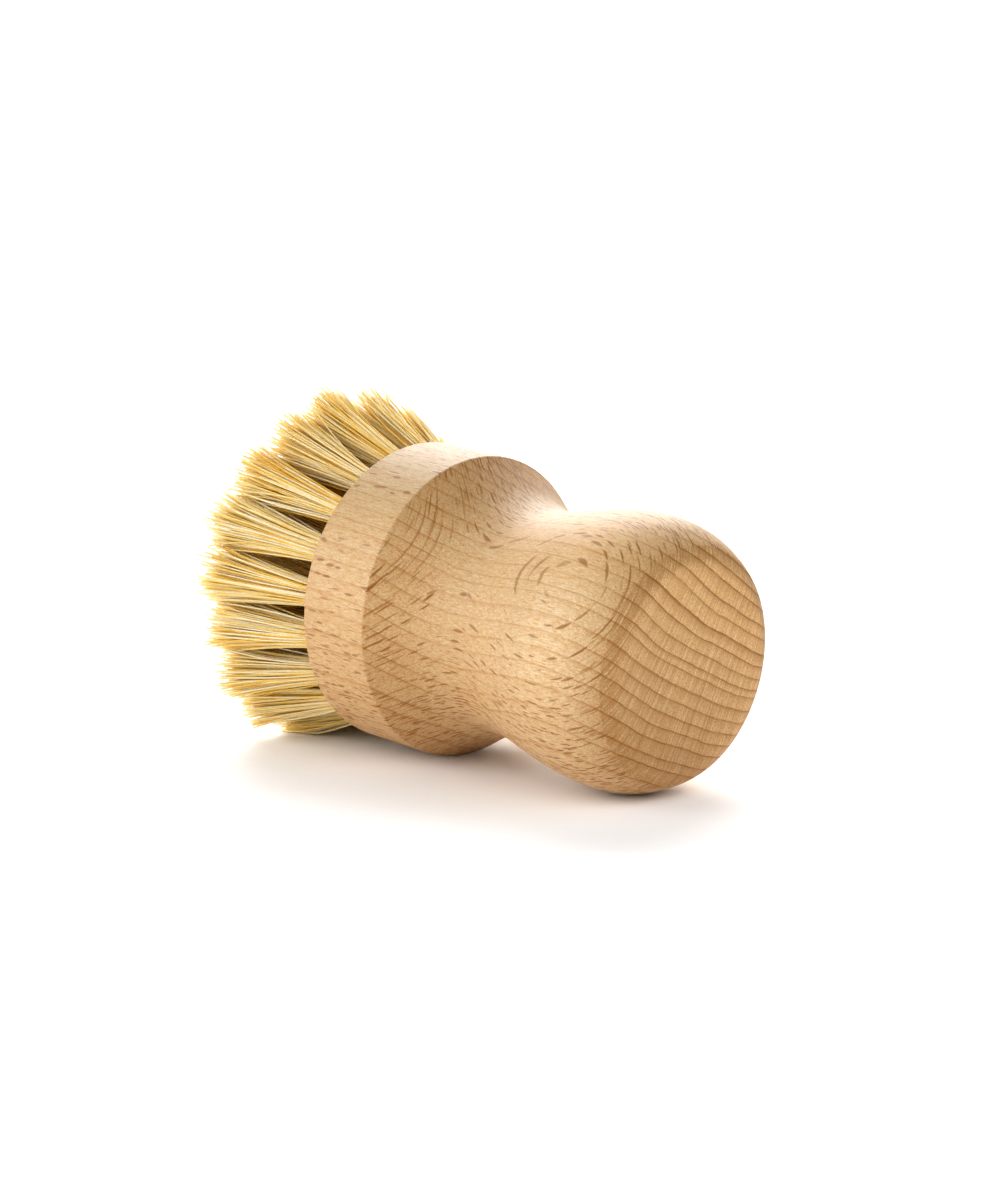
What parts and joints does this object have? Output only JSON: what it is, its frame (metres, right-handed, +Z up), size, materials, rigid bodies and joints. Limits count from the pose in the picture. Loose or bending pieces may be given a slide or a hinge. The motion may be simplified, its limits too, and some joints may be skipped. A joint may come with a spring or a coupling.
{
  "type": "dish brush",
  "caption": "Round dish brush with a short turned beech handle and stiff plant-fibre tufts that flare past its head, lying on its side.",
  "frame": {"origin": "on the surface that the brush lies on, under the middle of the whole brush", "axes": "+X toward the knob end, +Z up from the surface, +Y completes the right-handed frame; the brush's own axis dips 4.4 degrees toward +X because the head's rim and the narrower knob both rest on the surface"},
  "size_m": [0.0924, 0.0656, 0.0623],
  "materials": {
    "beech": "fine-sanded, raw and matte",
    "plant_fibre": "stiff, slightly glossy natural fibre strands",
    "anchor_wire": "bright drawn flat wire"
  },
  "bodies": {
    "root": {"handle": "beech", "tuft_outer_01": "plant_fibre", "tuft_outer_02": "plant_fibre", "tuft_outer_03": "plant_fibre", "tuft_outer_04": "plant_fibre", "tuft_outer_05": "plant_fibre", "tuft_outer_06": "plant_fibre", "tuft_outer_07": "plant_fibre", "tuft_outer_08": "plant_fibre", "tuft_outer_09": "plant_fibre", "tuft_outer_10": "plant_fibre", "tuft_outer_11": "plant_fibre", "tuft_outer_12": "plant_fibre", "tuft_outer_13": "plant_fibre", "tuft_outer_14": "plant_fibre", "tuft_outer_15": "plant_fibre", "tuft_outer_16": "plant_fibre", "tuft_outer_17": "plant_fibre", "tuft_outer_18": "plant_fibre", "tuft_middle_01": "plant_fibre", "tuft_middle_02": "plant_fibre", "tuft_middle_03": "plant_fibre", "tuft_middle_04": "plant_fibre", "tuft_middle_05": "plant_fibre", "tuft_middle_06": "plant_fibre", "tuft_middle_07": "plant_fibre", "tuft_middle_08": "plant_fibre", "tuft_middle_09": "plant_fibre", "tuft_middle_10": "plant_fibre", "tuft_middle_11": "plant_fibre", "tuft_middle_12": "plant_fibre", "tuft_inner_01": "plant_fibre", "tuft_inner_02": "plant_fibre", "tuft_inner_03": "plant_fibre", "tuft_inner_04": "plant_fibre", "tuft_inner_05": "plant_fibre", "tuft_inner_06": "plant_fibre", "tuft_centre": "plant_fibre", "anchors_outer_ring": "anchor_wire", "anchors_middle_ring": "anchor_wire", "anchors_inner_ring": "anchor_wire", "anchor_centre": "anchor_wire"}
  },
  "joints": []
}
